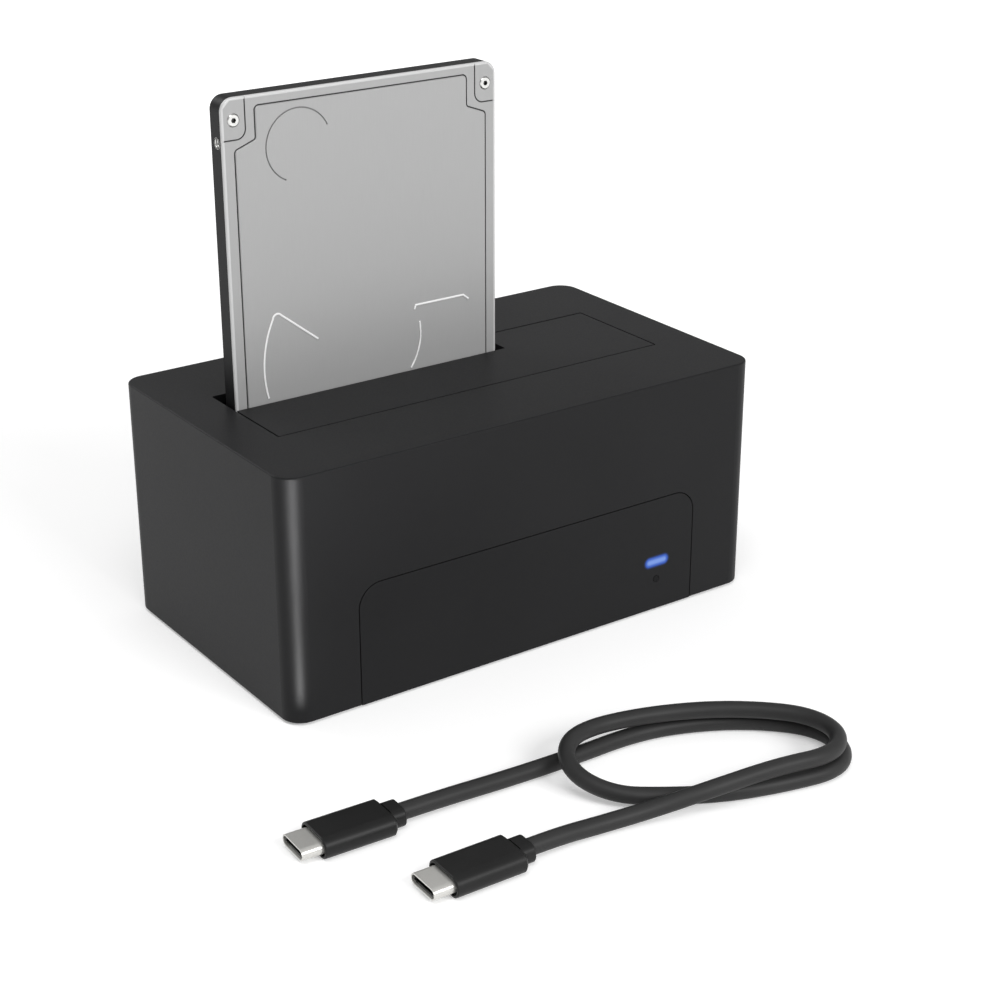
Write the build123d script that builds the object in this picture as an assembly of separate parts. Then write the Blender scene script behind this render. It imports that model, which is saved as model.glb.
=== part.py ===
from build123d import *
import os
from math import cos, dist, pi, radians, sin, tan

# Desk dock for one bare hard drive: the housing with its hinged flap, the slim drive that stands in it,
# and the short cable that lies in front of it. Front faces -Y, the origin is on the desk under its middle.

# Drives that the dock takes: a wide one under the flap, a slim one in the open slot
wide_drive_w = 101.6
wide_drive_t = 26.1
slim_w = 69.85
slim_len = 100.35
slim_t = 7.0
slim_corner_r = 3.0
socket_in = 30.125  # slim drive's connector, from that drive's left side
socket_depth = 3.5  # the connector's middle plane, from the board side of a drive

# Gaps
fit_gap = 0.25  # between mouldings that are pushed together
run_gap = 0.3  # between a moving piece and what it passes
shaft_gap = 0.08  # around a pin that turns in its bore
screw_gap = 0.05  # around a screw in its boss
cut_over = 1.0  # how far every cutter runs past the face that it cuts
rounding = 0.01  # the flat left between the two rounds of an oblong

# Housing
roof_side = 11.6  # from the opening to the housing's side
roof_front = 22.0  # from the opening to the housing's front, and to its rear
foot_lift = 0.6
wall_t = 2.4
roof_t = 2.0
corner_r = 4.8
edge_r = 0.35
column_r = 3.2
shell_rib_t = 1.4
opening_r = 0.6
column_inset = 4.6  # a corner column's middle, from the walls' inner faces

# Opening in the roof
wide_side_gap = 1.1
wide_face_gap = 1.95
slim_side_gap = 0.7
slim_far_gap = 2.15
slot_gap = 0.7  # from the notch's edge to the slim drive's lid
slot_back_gap = 3.5  # behind the slim drive

# Flap
flap_t = 1.8
flap_gap = 0.4
flap_back_gap = 0.6
barrel_r = 1.5
pin_r = 0.75
arm_w = 5.0
arm_inset = 5.9  # an arm's middle, from the opening's end
arm_reach = 5.6  # how far an arm runs under the plate
rib_h = 1.2
rib_w = 1.4
rib_count = 5
spring_wire = 0.5
spring_turns = 3
spring_pitch = 0.95
spring_leg = 7.0

# Bay, the well under the opening
bay_wall = 1.6
bay_floor_t = 1.8
flap_floor_gap = 0.9  # under the flap's far edge when it stands open
bay_side_gap = 0.6  # the well is wider than the opening by this much at each side
hinge_pocket = 0.7  # in front of the barrels
ear_t = 2.5
ear_drop = 9.0  # from the roof's inner face down to an ear
ear_r = 2.7
ear_y_share = 0.3  # of the well's depth, to each side of its middle
rest_t = 2.0
rest_inset = 6.0
guide_t = 1.6
guide_inset = 12.0
guide_drop = 4.0  # from the roof down to a guide's top

# Front panel and its lights
panel_side = 17.3  # from the housing's side to the panel's edge
panel_h = 29.0  # from the desk to the panel's top edge
panel_r = 5.4
flange_reach = 1.6
flange_t = 1.4
light_in = 10.5  # from the panel's right edge
light_z = 13.0
light_w = 6.0
light_h = 1.6
dot_z = 8.4
dot_r = 0.85
collar_t = 0.9
collar_len = 1.6
lens_gap = 0.1
led_board_w = 16.0
led_board_under = 3.2  # below the little round light
led_board_over = 0.3  # above the header
led_board_t = 1.0
led_board_gap = 4.2  # from the panel's inner face to the little board
led_chip_w = 3.0
led_chip_t = 0.9
led_chip_h = 1.4
led_boss_r = 2.0
led_screw_x = 5.6
led_screw_down = 2.6  # from the little board's top

# Base plate and feet
base_t = 2.0
base_pad = 3.5
base_rib_w = 1.4
base_rib_h = 1.6
foot_r = 5.0
foot_recess = 0.5
foot_in_x = 15.5
foot_in_y = 12.0

# Screws
screw_r = 1.1
screw_head_r = 2.1
screw_head_t = 1.4
screw_len = 7.0
screw_slot_w = 0.6
small_screw_r = 0.7
small_head_r = 1.3
small_head_t = 0.7

# Main board
board_side_gap = 13.1  # from the side wall's inner face
board_t = 1.6
board_stand = 12.4  # from the base plate up to the board
board_bay_gap = 1.2  # from the board up to the well's underside
board_front_gap = 6.6  # from the front wall's inner face
board_back_gap = 1.0
board_post_r = 2.8
board_hole_in_x = 4.0
board_hole_in_y = 2.8

# Drive socket
socket_stand = 5.9  # the socket's shoulder, above the well's floor
socket_w = 43.0
socket_t = 7.0
socket_nose_w = 38.0
socket_nose_t = 3.4
socket_nose_h = 5.5
socket_slot_t = 2.0
signal_w = 10.4
power_w = 20.6
tongue_t = 1.2
tongue_gap = 0.3
key_wall = 1.9  # between the two slots
contact_pitch = 1.27
contact_w = 0.7
contact_t = 0.1
signal_contacts = 7
power_contacts = 15

# Rear sockets and switch
bay_port_depth = 1.2  # sunk field round the sockets
field_side = 10.0  # from the middle of the outermost socket or button
field_below = 4.2  # from the board's top face down
field_above = 12.8
field_r = 2.0
usb_x = 6.0
usb_w = 8.94
usb_h = 3.26
usb_wall = 0.3
usb_len = 7.4
usb_tongue_w = 6.7
usb_tongue_t = 0.7
usb_tongue_len = 4.6
jack_x = 28.0
jack_w = 9.0
jack_h = 11.0
jack_len = 13.4
jack_nose_r = 3.9
jack_bore_r = 3.1
jack_bore_len = 9.5
jack_pin_r = 1.05
jack_pin_len = 9.0
button_x = -25.0
button_w = 9.0
button_h = 5.0
button_r = 1.6
button_travel = 1.0
button_proud = 1.0
button_flange = 1.1
button_stem = 2.2
switch_w = 7.0
switch_h = 8.0
switch_len = 8.6
switch_socket = 3.8

# Parts on the main board
bridge_w = 8.0
bridge_t = 0.9
bridge_x = -11.0
crystal_w = 5.0
crystal_d = 3.2
crystal_t = 0.9
crystal_x = -3.0
coil_w = 6.4
coil_h = 3.0
coil_in = 11.5  # from the board's left edge
can_r = 3.15
can_h = 7.2
can_base_t = 0.9
can_x = 17.0
rear_parts_y_share = (0.3, 0.74)  # two rows between the well and the rear wall
chip_w = 2.0
chip_d = 1.25
chip_t = 0.7
chip_pitch = 3.2
chip_count = 6
header_w = 9.0
header_d = 2.4
header_h = 2.5
header_pin = 0.6
header_pins = 4

# Slim drive
lid_t = 0.8
lid_step = 0.22
lid_edge_r = 0.4
case_band = 5.0  # full-width part of the case, lid included
case_inset = 1.5
screw_pad_w = 5.7
screw_pad_h = 9.0
lid_screw_in_x = 2.9
lid_screw_in_z = 4.8
lid_screw_r = 1.4
lid_screw_t = 0.5
torx_r = 0.6
step_top = 2.45
step_side = 3.0
step_shoulder_x = 8.1
step_shoulder_z = 9.5
step_drop = 1.9
step_corner_r = 0.9
pad_corner_r = 2.2
disc_x = 18.2
disc_z = 12.0
disc_r = 8.0
bead_w = 0.5
bead_h = 0.2
groove_w = 0.32
groove_t = 0.2
disc_start_deg = 25
disc_sweep_deg = 220
# The beads' points, as shares of the lid's width and length
left_bead_share = [
    (0.116, 0.676),
    (0.105, 0.593),
    (0.143, 0.494),
    (0.156, 0.485),
    (0.172, 0.489),
    (0.304, 0.562),
]
right_bead_share = [(0.654, 0.681), (0.69, 0.624), (0.69, 0.572)]
upper_bead_share = [(0.671, 0.542), (0.676, 0.532), (0.865, 0.532), (0.886, 0.544)]
side_hole_r = 1.25
side_hole_back = 2.5  # from the lid's face
side_hole_len = 3.0
plug_w = 42.0
plug_t = 5.2
plug_len = 9.0
plug_mouth_gap = 0.3
plug_mouth_len = 6.6
tongue_len = 5.2
drive_board_gap = 5.2  # from the drive's own board to its motor's hub
drive_board_t = 0.8
drive_board_in = 6.5
back_hole_r = 1.5
back_hole_in = 4.07  # from the drive's side
screw_row_low = 14.0  # from the connector end
screw_row_high = 90.6
back_hole_len = 2.5
hub_r = 13.0
hub_t = 0.5
hub_share = 0.62  # of the drive's length, up from its connector
hub_ring_share = (0.33, 0.67)
seat_gap = 0.3

# Cable and its two plugs
cable_d = 3.6
grip_w = 10.4
grip_h = 4.6
grip_len = 16.0
grip_r = 2.2
grip_end_r = 0.3
neck_w = 6.4
neck_h = 4.2
neck_len = 3.0
neck_r = 1.8
mouth_len = 2.0  # how deep the grip's front is hollow round the tip
mouth_wall = 0.5
tip_w = 8.34
tip_h = 2.56
tip_len = 4.5  # beyond the grip's front
tip_wall = 0.3
tip_sunk = 1.6
face_recess = 0.5
core_slot = 0.9
arc_share = 0.45  # of the shorter run beside a corner, used up by that corner's arc

# The cable's route from the far plug to the near plug, as it lies in the photograph
cable_route = [
    (-64.5, -80.2, 2.3),
    (-54.4, -80.7, 2.3),
    (-40.5, -81.4, 1.8),
    (-24.0, -82.3, 1.8),
    (-6.0, -82.2, 1.8),
    (7.3, -86.6, 1.8),
    (18.1, -93.5, 1.8),
    (25.7, -102.4, 1.8),
    (25.5, -111.8, 1.8),
    (18.4, -117.9, 1.8),
    (6.0, -115.6, 1.8),
    (-7.2, -111.4, 1.8),
    (-18.0, -104.9, 1.8),
    (-26.6, -100.2, 2.8),
    (-30.6, -92.0, 4.7),
    (-27.1, -84.0, 6.1),
    (-19.5, -80.6, 6.2),
    (-7.0, -82.3, 5.9),
    (6.0, -87.5, 5.8),
    (16.1, -94.5, 5.8),
    (23.5, -102.8, 5.8),
    (23.7, -112.1, 5.8),
    (16.4, -117.8, 5.9),
    (3.5, -115.2, 6.3),
    (-11.2, -112.7, 5.2),
    (-22.8, -108.3, 2.4),
    (-35.2, -105.9, 1.8),
    (-44.0, -105.2, 2.3),
    (-51.4, -105.0, 2.3),
]

# Heights and places that follow from the sizes above
opening_w = wide_drive_w + 2 * wide_side_gap
opening_d = wide_drive_t + 2 * wide_face_gap
body_w = opening_w + 2 * roof_side
body_d = opening_d + 2 * roof_front
inner_w = body_w - 2 * wall_t
inner_d = body_d - 2 * wall_t
front_y = -body_d / 2
rear_y = body_d / 2
front_in = front_y + wall_t
rear_in = rear_y - wall_t
panel_w = body_w - 2 * panel_side
light_x = panel_w / 2 - light_in
open_l = -opening_w / 2
open_r = opening_w / 2
open_f = -opening_d / 2
open_b = opening_d / 2
slim_x = open_l + slim_side_gap  # the slim drive's left side
slim_mid = slim_x + slim_w / 2
slim_back = open_b - slot_back_gap  # its board side
slim_face = slim_back - slim_t  # its lid
slot_r = slim_x + slim_w + slim_far_gap
slot_f = slim_face - slot_gap
socket_x = slim_x + socket_in
socket_y = slim_back - socket_depth
flap_l = open_l + flap_gap
flap_r = open_r - flap_gap
flap_f = open_f + flap_gap
flap_b = open_b - flap_back_gap
base_top = foot_lift + base_t
board_z = base_top + board_stand
board_top = board_z + board_t
bay_low = board_top + board_bay_gap
bay_floor_z = bay_low + bay_floor_t
hinge_drop = roof_t + run_gap + barrel_r  # from the top face down to the pin
hinge_y = open_f - hinge_drop
hinge_z = bay_floor_z + flap_floor_gap + flap_b - hinge_y  # so that the open flap clears the well's floor
body_h = hinge_z + hinge_drop
roof_z = body_h - roof_t
flap_under = body_h - flap_t
well_x = opening_w / 2 + bay_side_gap
well_f = hinge_y - barrel_r - hinge_pocket
well_b = open_b + bay_side_gap
well_out_x = well_x + bay_wall
well_out_f = well_f - bay_wall
well_out_b = well_b + bay_wall
ear_z = roof_z - ear_drop - ear_t
ear_mid_x = (well_out_x + inner_w / 2) / 2
ear_mid_y = (well_out_f + well_out_b) / 2
ear_half_y = ear_y_share * (well_out_b - well_out_f)
board_x = inner_w / 2 - board_side_gap
coil_x = coil_in - board_x
board_f = front_in + board_front_gap
board_b = rear_in - board_back_gap
shoulder_z = bay_floor_z + socket_stand
slim_z = shoulder_z + seat_gap  # the slim drive's lower edge
slim_top = slim_z + slim_len
hub_z = slim_z + hub_share * slim_len
drive_board_top = hub_z - hub_r - drive_board_gap
plug_z = slim_z + plug_len
column_x = inner_w / 2 - column_inset
column_y = inner_d / 2 - column_inset
column_z = foot_lift + base_pad
foot_x = inner_w / 2 - foot_in_x
foot_y = inner_d / 2 - foot_in_y
port_y = rear_y - bay_port_depth  # face of the sunk field
usb_z = board_top + usb_h / 2
jack_z = board_top + jack_h / 2
button_z = board_top + switch_h / 2
switch_face = rear_in - button_flange - run_gap - button_travel - 2 * run_gap
led_board_y = front_in + led_board_gap
led_board_low = dot_z - led_board_under
led_board_top = board_top + header_h + led_board_over
led_screw_z = led_board_top - led_screw_down
arm_x = opening_w / 2 - arm_inset


def block(x, y, z):
    """A plain block, from its low and high place along each axis."""
    size = [high - low for low, high in (x, y, z)]
    middle = [(low + high) / 2 for low, high in (x, y, z)]
    return Pos(*middle) * Box(*size)


def around(middle, size):
    """The low and high place of a size laid evenly about its middle."""
    return (middle - size / 2, middle + size / 2)


def post(x, y, low, high, radius):
    """An upright round bar."""
    return Pos(x, y, (low + high) / 2) * Cylinder(radius, high - low)


def rod_x(y, z, low, high, radius):
    """A round bar from left to right."""
    return Pos((low + high) / 2, y, z) * Rot(0, 90, 0) * Cylinder(radius, high - low)


def rod_y(x, z, low, high, radius):
    """A round bar from front to back."""
    return Pos(x, (low + high) / 2, z) * Rot(90, 0, 0) * Cylinder(radius, high - low)


def slab(width, depth, radius, low, high):
    """A level plate with rounded corners, about the middle of the dock."""
    return Pos(0, 0, low) * extrude(RectangleRounded(width, depth, radius), high - low)


def facing(sketch, low, high):
    """An outline drawn as seen from the front, made solid between two places front to back."""
    plane = Plane(origin=(0, high, 0), x_dir=(1, 0, 0), z_dir=(0, -1, 0))
    return extrude(plane * sketch, high - low)


def profile(sketch, low, high):
    """An outline drawn as seen from the right, made solid between two places left to right."""
    plane = Plane(origin=(low, 0, 0), x_dir=(0, 1, 0), z_dir=(1, 0, 0))
    return extrude(plane * sketch, high - low)


def stadium_y(x, z, width, height, low, high):
    """A bar of oblong section from front to back."""
    return facing(Pos(x, z) * RectangleRounded(width, height, height / 2 - rounding), low, high)


def screw(x, y, seat, length, up=True):
    """A pan-head screw with a slot. Its head rests on the seat and its shank points up or down."""
    head = Cylinder(screw_head_r, screw_head_t)
    head = chamfer(head.edges().group_by(Axis.Z)[0], screw_head_t / 3)
    head -= Pos(0, 0, -screw_head_t / 2) * Box(2 * screw_r, screw_slot_w, screw_head_t)
    shank = Cylinder(screw_r, length)
    body = Pos(0, 0, -screw_head_t / 2) * head + Pos(0, 0, length / 2) * shank
    turn = Rot(0, 0, 0) if up else Rot(180, 0, 0)
    return Pos(x, y, seat) * turn * body


def corners(x, y):
    """The four places at plus and minus two distances."""
    return [(side * x, end * y) for side in (-1, 1) for end in (-1, 1)]


def panel_outline(grow, low, high):
    """The front panel's outline with its two rounded upper corners."""
    outline = Pos(0, (low + high) / 2) * Rectangle(panel_w + 2 * grow, high - low)
    return fillet(outline.vertices().group_by(Axis.Y)[-1], panel_r + grow)


def well(width, front, back, radius, low, high):
    """A rounded block over the well's place, which lies a little behind or before the middle."""
    flat = Pos(0, (front + back) / 2, low) * RectangleRounded(width, back - front, radius)
    return extrude(flat, high - low)


def ear_places():
    """The middles of the four ears that carry the well."""
    spots = []
    for side in (-1, 1):
        for end in (-1, 1):
            spots.append((side * ear_mid_x, ear_mid_y + end * ear_half_y))
    return spots


def board_holes():
    """The middles of the main board's four screw holes."""
    x = board_x - board_hole_in_x
    rows = (board_f + board_hole_in_y, board_b - board_hole_in_y)
    return [(side * x, y) for side in (-1, 1) for y in rows]


def make_upper_shell():
    """Roof and walls in one moulding, open below, with its screw columns and the rear field."""
    shell = slab(body_w, body_d, corner_r, foot_lift, body_h)
    rims = shell.edges().group_by(Axis.Z)
    shell = fillet(rims[0] + rims[-1], edge_r)
    shell -= slab(inner_w, inner_d, corner_r - wall_t, foot_lift - cut_over, roof_z)
    for x, y in corners(column_x, column_y):
        wall_x = inner_w / 2 if x > 0 else -inner_w / 2
        wall_y = inner_d / 2 if y > 0 else -inner_d / 2
        shell += post(x, y, column_z, roof_z, column_r)
        shell += block(sorted((x, wall_x)), around(y, shell_rib_t), (column_z, roof_z))
        shell += block(around(x, shell_rib_t), sorted((y, wall_y)), (column_z, roof_z))
        shell -= post(x, y, column_z - cut_over, column_z + screw_len, screw_r + screw_gap)
    for x, y in ear_places():
        shell += post(x, y, ear_z + ear_t, roof_z, ear_r)
        shell -= post(x, y, ear_z, ear_z + screw_len, screw_r + screw_gap)
    mouth = RectangleRounded(opening_w, opening_d, opening_r)
    shell -= Pos(0, 0, roof_z - cut_over) * extrude(mouth, roof_t + 2 * cut_over)
    cut = panel_outline(fit_gap, foot_lift - cut_over, panel_h + fit_gap)
    shell -= facing(cut, front_y - cut_over, front_in + cut_over)
    return shell - rear_field() - rear_holes()


def rear_field():
    """The sunk field in the rear wall that holds the sockets and the button."""
    width = jack_x - button_x + 2 * field_side
    height = field_below + field_above
    middle = Pos((jack_x + button_x) / 2, board_top + (field_above - field_below) / 2)
    return facing(middle * RectangleRounded(width, height, field_r), port_y, rear_y + cut_over)


def rear_holes():
    """Holes through the rear wall for the cable socket, the power jack and the button."""
    low, high = rear_in - cut_over, rear_y + cut_over
    holes = stadium_y(usb_x, usb_z, usb_w + 2 * fit_gap, usb_h + 2 * fit_gap, low, high)
    holes += rod_y(jack_x, jack_z, low, high, jack_nose_r + fit_gap)
    key = RectangleRounded(button_w + 2 * run_gap, button_h + 2 * run_gap, button_r + run_gap)
    return holes + facing(Pos(button_x, button_z) * key, low, high)


def make_front_panel():
    """The panel in the front wall: a plate flush with it, a flange behind it and the light holders."""
    panel = facing(panel_outline(0, foot_lift, panel_h), front_y, front_in)
    low = base_top + fit_gap
    panel += facing(panel_outline(flange_reach, low, panel_h + flange_reach), front_in, front_in + flange_t)
    back = front_in + flange_t
    wide, tall = light_w + 2 * collar_t, light_h + 2 * collar_t
    panel += stadium_y(light_x, light_z, wide, tall, back, back + collar_len)
    panel += rod_y(light_x, dot_z, back, back + collar_len, dot_r + collar_t)
    for side in (-1, 1):
        x = light_x + side * led_screw_x
        panel += rod_y(x, led_screw_z, back, led_board_y, led_boss_r)
        low = front_in + flange_t / 2
        panel -= rod_y(x, led_screw_z, low, led_board_y + cut_over, small_screw_r + screw_gap)
    low, high = front_y - cut_over, back + collar_len + cut_over
    panel -= stadium_y(light_x, light_z, light_w + 2 * lens_gap, light_h + 2 * lens_gap, low, high)
    return panel - rod_y(light_x, dot_z, low, high, dot_r + lens_gap)


def make_lights():
    """The two clear light guides, flush with the panel, and the chips that shine into them."""
    face = led_board_y - led_chip_t
    status = stadium_y(light_x, light_z, light_w, light_h, front_y, face - run_gap)
    dot = rod_y(light_x, dot_z, front_y, face - run_gap, dot_r)
    chips = []
    for z in (light_z, dot_z):
        chips.append(block(around(light_x, led_chip_w), (face, led_board_y), around(z, led_chip_h)))
    return status, dot, Compound(chips)


def make_led_board():
    """The little upright board behind the panel, and the two screws that hold it."""
    back = led_board_y + led_board_t
    board = block(around(light_x, led_board_w), (led_board_y, back), (led_board_low, led_board_top))
    screws = []
    for side in (-1, 1):
        x = light_x + side * led_screw_x
        board -= rod_y(x, led_screw_z, led_board_y - cut_over, back + cut_over, small_screw_r + fit_gap)
        shank = rod_y(x, led_screw_z, front_in + flange_t, back, small_screw_r)
        head = rod_y(x, led_screw_z, back, back + small_head_t, small_head_r)
        slot = block(around(x, 2 * small_screw_r), (back + small_head_t / 2, back + cut_over),
                     around(led_screw_z, screw_slot_w / 2))
        screws.append(shank + head - slot)
    return board, Compound(screws)


def make_header():
    """The right-angle header that joins the little board to the main one."""
    body = block(around(light_x, header_w), (board_f, board_f + header_d), (board_top, board_top + header_h))
    for step in range(header_pins):
        x = light_x + (step + 1 / 2 - header_pins / 2) * header_w / header_pins
        z = board_top + header_h / 2
        body += block(around(x, header_pin), (led_board_y + led_board_t, board_f), around(z, header_pin))
    return body


def make_base_plate():
    """The flat cover underneath, with pads for its screws, posts for the main board and stiffening ribs."""
    radius = corner_r - wall_t - fit_gap
    width, depth = inner_w - 2 * fit_gap, inner_d - 2 * fit_gap
    plate = slab(width, depth, radius, foot_lift, base_top)
    for x, y in board_holes():
        plate += post(x, y, base_top, board_z, board_post_r)
        plate += block(sorted((0, x)), around(y, base_rib_w), (base_top, base_top + base_rib_h))
        plate -= post(x, y, board_z - screw_len, board_z + cut_over, screw_r + screw_gap)
    for x, y in corners(column_x, column_y):
        plate += post(x, y, base_top, column_z, column_r)
        plate -= post(x, y, foot_lift - cut_over, column_z + cut_over, screw_r + fit_gap)
        plate -= post(x, y, foot_lift - cut_over, foot_lift + screw_head_t + fit_gap, screw_head_r + fit_gap)
    for x, y in corners(foot_x, foot_y):
        plate -= post(x, y, foot_lift - cut_over, foot_lift + foot_recess, foot_r + screw_gap)
    return plate


def make_feet():
    """Four round rubber feet, each set in its recess."""
    feet = []
    for x, y in corners(foot_x, foot_y):
        foot = post(x, y, 0, foot_lift + foot_recess, foot_r)
        feet.append(chamfer(foot.edges().group_by(Axis.Z)[0], foot_lift / 2))
    return Compound(feet)


def make_screws():
    """The three sets of pan-head screws: base, well and main board."""
    seat = foot_lift + screw_head_t + fit_gap
    base = [screw(x, y, seat, screw_len - screw_gap) for x, y in corners(column_x, column_y)]
    hung = [screw(x, y, ear_z, screw_len - screw_gap) for x, y in ear_places()]
    board = [screw(x, y, board_top, screw_len - screw_gap, up=False) for x, y in board_holes()]
    return Compound(base), Compound(hung), Compound(board)


def make_drive_bay():
    """The well under the opening: walls, floor, ears, drive rests and guides, and the hinge pin's holes."""
    bay = well(2 * well_out_x, well_out_f, well_out_b, bay_wall, bay_low, roof_z)
    bay -= well(2 * well_x, well_f, well_b, bay_wall / 2, bay_floor_z, roof_z + cut_over)
    for x, y in ear_places():
        wall_x = well_out_x if x > 0 else -well_out_x
        bay += block(sorted((x, wall_x)), around(y, 2 * ear_r), (ear_z, ear_z + ear_t))
        bay += post(x, y, ear_z, ear_z + ear_t, ear_r)
        bay -= post(x, y, ear_z - cut_over, ear_z + ear_t + cut_over, screw_r + fit_gap)
    for x in (slim_x + rest_inset, slim_x + slim_w - rest_inset, wide_drive_w / 2 - rest_inset):
        bay += block(around(x, rest_t), (slim_face, well_b), (bay_floor_z, shoulder_z))
    for x in (slim_x + guide_inset, slim_x + slim_w - guide_inset):
        bay += block(around(x, guide_t), (slim_back + run_gap, well_b), (bay_floor_z, roof_z - guide_drop))
    bay -= block(around(socket_x, socket_w + 2 * fit_gap), around(socket_y, socket_t + 2 * fit_gap),
                 (bay_low - cut_over, shoulder_z))
    return bay - rod_x(hinge_y, hinge_z, -well_out_x - cut_over, well_out_x + cut_over, pin_r + screw_gap)


def make_hinge_pin():
    """The steel rod that the flap turns on, from wall to wall of the well."""
    return rod_x(hinge_y, hinge_z, -well_out_x, well_out_x, pin_r)


def make_drive_flap():
    """The sprung lid over the wide opening, notched for the slim slot, ribs and two hinge arms below."""
    flap = block((flap_l, flap_r), (flap_f, flap_b), (flap_under, body_h))
    flap = fillet(flap.edges().filter_by(Axis.Z), opening_r - flap_gap)
    notch_x, notch_y = (flap_l - cut_over, slot_r), (slot_f, flap_b + cut_over)
    flap -= block(notch_x, notch_y, (flap_under - cut_over, body_h + cut_over))
    for step in range(rib_count):
        x = open_l + opening_w * (step + 1) / (rib_count + 1)
        back = slot_f if x < slot_r + rib_w else flap_b
        flap += block(around(x, rib_w), (flap_f + rib_w, back - rib_w), (flap_under - rib_h, flap_under))
    for side in (-1, 1):
        flap += hinge_arm(side * arm_x)
    return flap - rod_x(hinge_y, hinge_z, flap_l, flap_r, pin_r + shaft_gap)


def hinge_arm(x):
    """One arm, from its barrel on the pin, under the roof's edge and along the plate."""
    low, high = around(x, arm_w)
    outline = Polyline(
        (hinge_y, hinge_z + barrel_r),
        (flap_f, hinge_z + barrel_r),
        (flap_f, flap_under),
        (flap_f + arm_reach, flap_under),
        (flap_f + arm_reach, flap_under - rib_h),
        (flap_f, hinge_z - barrel_r),
        (hinge_y, hinge_z - barrel_r),
        close=True,
    )
    return profile(make_face(outline), low, high) + rod_x(hinge_y, hinge_z, low, high, barrel_r)


def make_flap_springs():
    """The two coils that hold the flap up, round the pin beside the arms, each with a leg below."""
    springs = []
    radius = barrel_r - spring_wire / 2
    lean = spring_leg * spring_pitch / (2 * pi * radius)
    for side in (-1, 1):
        start = side * (arm_x - arm_w / 2 - run_gap - spring_wire / 2 - lean)
        arcs = []
        for step in range(4 * spring_turns):
            places = [coil_point(start, side, radius, step + half / 2) for half in range(3)]
            arcs.append(ThreePointArc(*places))
        first = Vector(*coil_point(start, side, radius, 0))
        heading = arcs[0] % 0
        leg = Line(first - heading * spring_leg, first)
        wire = Wire([leg.edge()] + [arc.edge() for arc in arcs])
        ring = Plane(origin=leg @ 0, z_dir=leg % 0) * Circle(spring_wire / 2)
        springs.append(sweep(ring, path=wire))
    return Compound(springs)


def coil_point(start, side, radius, quarters):
    """A point of the coil, so many quarter turns after its top."""
    angle = (1 + quarters) * pi / 2
    x = start - side * spring_pitch * quarters / 4
    return (x, hinge_y + radius * cos(angle), hinge_z + radius * sin(angle))


def make_main_board():
    """The circuit board, with its four screw holes."""
    board = block((-board_x, board_x), (board_f, board_b), (board_z, board_top))
    for x, y in board_holes():
        board -= post(x, y, board_z - cut_over, board_top + cut_over, screw_r + fit_gap)
    return board


def tongue_places():
    """Left and right ends of the connector's two tongues, one for signals and one for power."""
    left = socket_x - (signal_w + key_wall + 2 * tongue_gap + power_w) / 2
    middle = left + signal_w + key_wall + 2 * tongue_gap
    return [(left, left + signal_w), (middle, middle + power_w)]


def make_drive_socket():
    """The upright socket that a drive plugs on to, and the contact springs in its two slots."""
    nose_z = shoulder_z + socket_nose_h
    body = block(around(socket_x, socket_w), around(socket_y, socket_t), (board_top, shoulder_z))
    body += block(around(socket_x, socket_nose_w), around(socket_y, socket_nose_t), (shoulder_z, nose_z))
    contacts = []
    floor = slim_z - run_gap
    wall = socket_y + socket_slot_t / 2
    for (left, right), count in zip(tongue_places(), (signal_contacts, power_contacts)):
        body -= block((left - tongue_gap, right + tongue_gap), around(socket_y, socket_slot_t),
                      (floor, nose_z + cut_over))
        for step in range(count):
            x = (left + right) / 2 + (step - (count - 1) / 2) * contact_pitch
            high = nose_z - tongue_gap
            contacts.append(block(around(x, contact_w), (wall - contact_t, wall), (floor, high)))
    return body, Compound(contacts)


def make_usb_port():
    """The cable socket: a drawn steel shell with a tongue in its mouth."""
    back = port_y - usb_len
    shell = stadium_y(usb_x, usb_z, usb_w, usb_h, back, port_y)
    floor = back + usb_wall
    shell -= stadium_y(usb_x, usb_z, usb_w - 2 * usb_wall, usb_h - 2 * usb_wall, floor, port_y + cut_over)
    tongue = facing(Pos(usb_x, usb_z) * Rectangle(usb_tongue_w, usb_tongue_t), floor, floor + usb_tongue_len)
    return shell, tongue


def make_power_jack():
    """The barrel jack: a moulded block with a round nose in the wall's hole, and its centre pin."""
    front = rear_in - fit_gap
    body = block(around(jack_x, jack_w), (front - jack_len, front), (board_top, board_top + jack_h))
    body += rod_y(jack_x, jack_z, front, port_y, jack_nose_r)
    floor = port_y - jack_bore_len
    body -= rod_y(jack_x, jack_z, floor, port_y + cut_over, jack_bore_r)
    pin = rod_y(jack_x, jack_z, floor, floor + jack_pin_len, jack_pin_r)
    pin = fillet(pin.edges().group_by(Axis.Y)[-1], jack_pin_r / 2)
    return body, pin


def make_power_button():
    """The push button in the rear field, its flange behind the wall and the stem that works the switch."""
    face = port_y + button_proud
    flange = rear_in - run_gap
    cap = facing(Pos(button_x, button_z) * RectangleRounded(button_w, button_h, button_r), flange, face)
    cap = fillet(cap.faces().sort_by(Axis.Y)[-1].edges(), edge_r)
    wide = button_w + 2 * button_flange
    tall = button_h + 2 * button_flange
    rim = Pos(button_x, button_z) * RectangleRounded(wide, tall, button_r)
    cap += facing(rim, flange - button_flange, flange)
    stem_end = switch_face - button_travel
    return cap + facing(Pos(button_x, button_z) * Rectangle(button_stem, button_stem), stem_end, flange)


def make_power_switch():
    """The switch on the board, with the square mouth that the button's stem works in."""
    low = switch_face - switch_len
    body = block(around(button_x, switch_w), (low, switch_face), (board_top, board_top + switch_h))
    mouth = button_stem + 2 * run_gap
    pocket = switch_face - switch_socket
    return body - facing(Pos(button_x, button_z) * Rectangle(mouth, mouth), pocket, switch_face + cut_over)


def rear_row(number):
    """The first or second row of parts on the board, between the well and the rear wall."""
    return well_out_b + rear_parts_y_share[number] * (board_b - well_out_b)


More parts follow.
